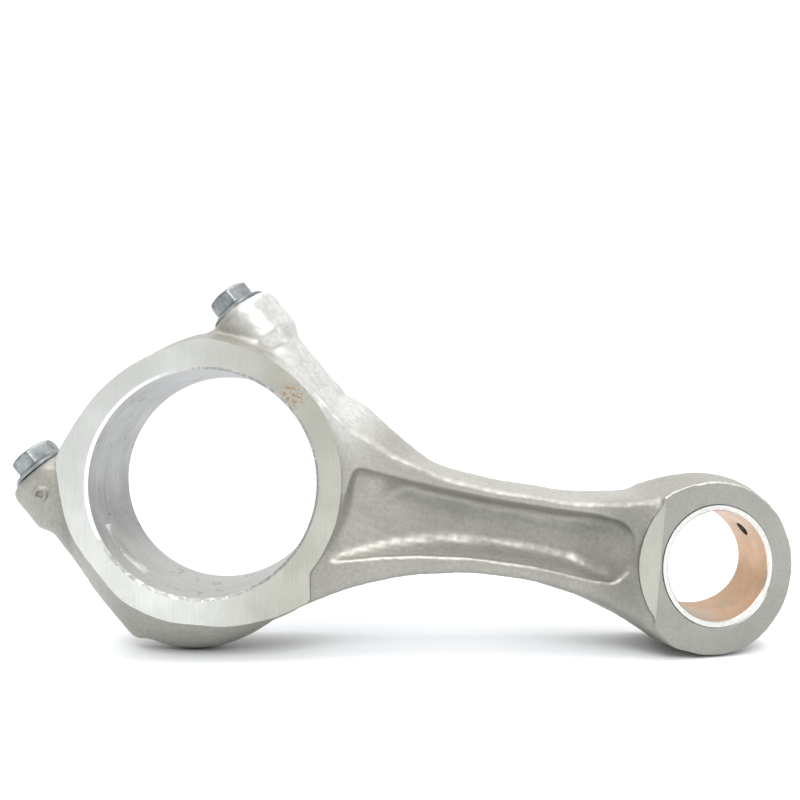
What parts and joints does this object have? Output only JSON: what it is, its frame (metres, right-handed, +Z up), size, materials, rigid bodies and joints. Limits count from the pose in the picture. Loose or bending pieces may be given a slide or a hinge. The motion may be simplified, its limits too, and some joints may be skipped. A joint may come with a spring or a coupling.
{
  "type": "connecting rod",
  "caption": "Forged connecting rod with an angled-split big end, a bolted bearing cap, an I-section shank and a wedge-shaped small end with a bronze-lined bush.",
  "frame": {"origin": "centre of the big end bore, half way through its width", "axes": "+Y along the big end bore, +Z up with the rod standing on its lower edge, +X from the big end towards the small end"},
  "size_m": [0.2657, 0.038, 0.1252],
  "materials": {
    "forged_steel": "matt",
    "bolt_steel": "satin",
    "bush_steel": "satin",
    "bush_bronze": "satin"
  },
  "bodies": {
    "rod": {"rod_body": "forged_steel", "bush_back": "bush_steel", "bush_lining": "bush_bronze"},
    "cap": {"bearing_cap": "forged_steel"},
    "bolt_upper": {"cap_bolt_upper": "bolt_steel"},
    "bolt_lower": {"cap_bolt_lower": "bolt_steel"}
  },
  "joints": [
    {"name": "cap_lift", "type": "slide", "parent": "rod", "child": "cap", "axis": [-0.6348, 0, 0.7727], "range_m": [0, 0.045]},
    {"name": "bolt_upper_out", "type": "slide", "parent": "cap", "child": "bolt_upper", "axis": [-0.6348, 0, 0.7727], "range_m": [0, 0.065]},
    {"name": "bolt_lower_out", "type": "slide", "parent": "cap", "child": "bolt_lower", "axis": [-0.6348, 0, 0.7727], "range_m": [0, 0.065]}
  ]
}
